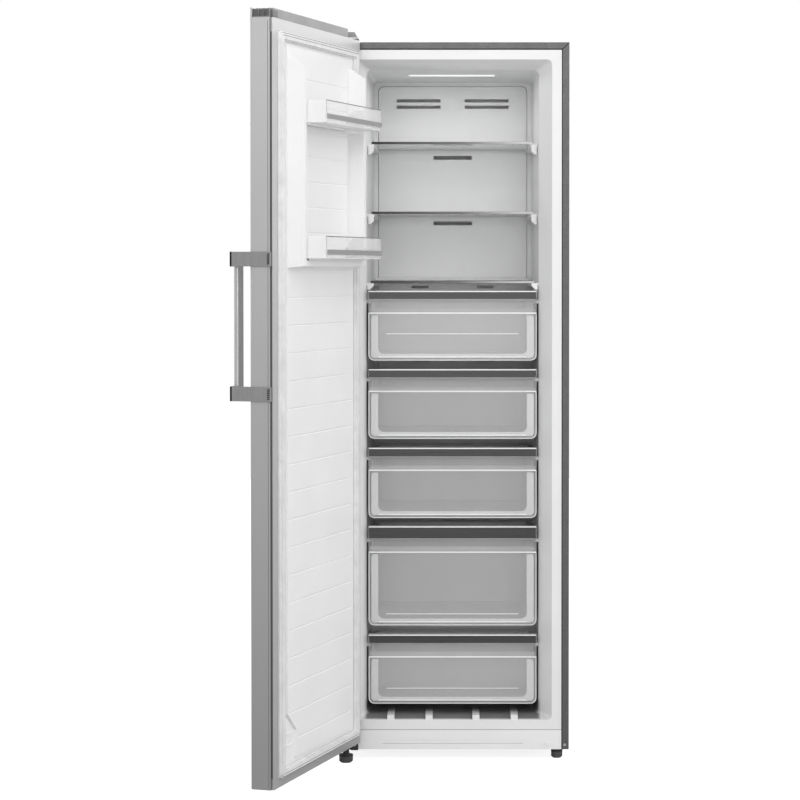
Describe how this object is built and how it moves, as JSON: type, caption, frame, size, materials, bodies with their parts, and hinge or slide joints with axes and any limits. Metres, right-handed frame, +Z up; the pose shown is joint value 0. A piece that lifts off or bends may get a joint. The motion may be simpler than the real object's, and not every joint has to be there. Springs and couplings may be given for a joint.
{
  "type": "upright freezer",
  "caption": "Tall upright freezer with its left-hinged door open, a bar handle, door bins, glass shelves and clear-fronted drawers.",
  "frame": {"origin": "on the floor, in the middle of the space that the freezer takes with its door open as stored", "axes": "+X to the right seen from the front, +Y from the front to the back, +Z up"},
  "size_m": [0.8098, 1.196, 1.856],
  "materials": {
    "door_steel": "fine-grained stainless-look sheet",
    "cabinet_steel": "grey metallic paint, satin",
    "zinc_steel": "zinc-plated sheet",
    "white_plastic": "moulded white, semi-gloss",
    "grey_plastic": "moulded grey, satin",
    "black_plastic": "moulded black",
    "clear_plastic": "clear moulding",
    "shelf_glass": "toughened clear glass",
    "insulation": "rigid foam",
    "seal": "soft grey seal",
    "coil_aluminium": "bare",
    "handle_metal": "brushed",
    "lamp_lens": "opal",
    "compressor_paint": "black, satin"
  },
  "bodies": {
    "cabinet": {"side_panel_left": "cabinet_steel", "side_panel_right": "cabinet_steel", "top_panel": "cabinet_steel", "rear_panel": "zinc_steel", "base_plate": "zinc_steel", "compressor_cover": "zinc_steel", "top_hinge_bracket": "zinc_steel", "upper_hinge_pin": "zinc_steel", "lower_hinge_pin": "zinc_steel", "kick_panel": "white_plastic", "inner_liner": "white_plastic", "evaporator_cover": "white_plastic", "foam_side_left": "insulation", "foam_side_right": "insulation", "foam_top": "insulation", "foam_floor": "insulation", "foam_rear": "insulation", "evaporator_coil": "coil_aluminium", "fan_motor": "black_plastic", "drip_tray": "black_plastic", "led_lamp": "lamp_lens", "compressor": "compressor_paint", "bottom_hinge_bracket": "compressor_paint", "control_box": "grey_plastic", "top_hinge_cover": "grey_plastic"},
    "door": {"door_skin": "door_steel", "door_frame": "door_steel", "door_top_cap": "grey_plastic", "door_bottom_cap": "grey_plastic", "door_foam": "insulation", "door_liner": "white_plastic", "door_gasket": "seal", "handle_bar": "handle_metal", "handle_bracket_lower": "handle_metal", "handle_bracket_upper": "handle_metal"},
    "bin_upper": {"bin_upper_tray": "white_plastic", "bin_upper_front": "clear_plastic"},
    "bin_lower": {"bin_lower_tray": "white_plastic", "bin_lower_front": "clear_plastic"},
    "fan": {"fan_blade": "white_plastic"},
    "foot_right": {"levelling_foot_right": "black_plastic"},
    "foot_left": {"levelling_foot_left": "black_plastic"},
    "roller_left": {"rear_roller_left": "black_plastic"},
    "roller_right": {"rear_roller_right": "black_plastic"},
    "shelf_top": {"shelf_top_glass": "shelf_glass", "shelf_top_trim": "white_plastic"},
    "shelf_middle": {"shelf_middle_glass": "shelf_glass", "shelf_middle_trim": "white_plastic"},
    "shelf_bottom": {"shelf_bottom_glass": "shelf_glass", "shelf_bottom_trim": "white_plastic"},
    "drawer_1": {"drawer_1_tub": "white_plastic", "drawer_1_front": "clear_plastic"},
    "drawer_2": {"drawer_2_tub": "white_plastic", "drawer_2_front": "clear_plastic"},
    "drawer_3": {"drawer_3_tub": "white_plastic", "drawer_3_front": "clear_plastic"},
    "drawer_4": {"drawer_4_tub": "white_plastic", "drawer_4_front": "clear_plastic"},
    "drawer_5": {"drawer_5_tub": "white_plastic", "drawer_5_front": "clear_plastic"}
  },
  "joints": [
    {"name": "door_hinge", "type": "hinge", "parent": "cabinet", "child": "door", "pos_m": [-0.16506, -0.04126, 0.9], "axis": [0, 0, -1], "range_deg": [-107.4, 12.6]},
    {"name": "bin_upper_lift", "type": "slide", "parent": "door", "child": "bin_upper", "axis": [0, 0, 1], "range_m": [0, 0.03]},
    {"name": "bin_lower_lift", "type": "slide", "parent": "door", "child": "bin_lower", "axis": [0, 0, 1], "range_m": [0, 0.03]},
    {"name": "shelf_top_slide", "type": "slide", "parent": "cabinet", "child": "shelf_top", "axis": [0, -1, 0], "range_m": [0, 0.25]},
    {"name": "shelf_middle_slide", "type": "slide", "parent": "cabinet", "child": "shelf_middle", "axis": [0, -1, 0], "range_m": [0, 0.25]},
    {"name": "shelf_bottom_slide", "type": "slide", "parent": "cabinet", "child": "shelf_bottom", "axis": [0, -1, 0], "range_m": [0, 0.25]},
    {"name": "drawer_1_slide", "type": "slide", "parent": "cabinet", "child": "drawer_1", "axis": [0, -1, 0], "range_m": [0, 0.3]},
    {"name": "drawer_2_slide", "type": "slide", "parent": "cabinet", "child": "drawer_2", "axis": [0, -1, 0], "range_m": [0, 0.3]},
    {"name": "drawer_3_slide", "type": "slide", "parent": "cabinet", "child": "drawer_3", "axis": [0, -1, 0], "range_m": [0, 0.3]},
    {"name": "drawer_4_slide", "type": "slide", "parent": "cabinet", "child": "drawer_4", "axis": [0, -1, 0], "range_m": [0, 0.3]},
    {"name": "drawer_5_slide", "type": "slide", "parent": "cabinet", "child": "drawer_5", "axis": [0, -1, 0], "range_m": [0, 0.15]},
    {"name": "fan_spin", "type": "hinge", "parent": "cabinet", "child": "fan", "pos_m": [0.10744, 0.49724, 0.9], "axis": [0, 1, 0], "continuous": true},
    {"name": "roller_left_spin", "type": "hinge", "parent": "cabinet", "child": "roller_left", "pos_m": [-0.13256, 0.55474, 0.012], "axis": [1, 0, 0], "continuous": true},
    {"name": "roller_right_spin", "type": "hinge", "parent": "cabinet", "child": "roller_right", "pos_m": [0.34744, 0.55474, 0.012], "axis": [1, 0, 0], "continuous": true},
    {"name": "foot_right_turn", "type": "hinge", "parent": "cabinet", "child": "foot_right", "pos_m": [0.37544, 0.03574, 0.01], "axis": [0, 0, 1], "range_deg": [-180, 180]},
    {"name": "foot_left_turn", "type": "hinge", "parent": "cabinet", "child": "foot_left", "pos_m": [-0.16356, -0.02526, 0.01], "axis": [0, 0, 1], "range_deg": [-180, 180]}
  ]
}
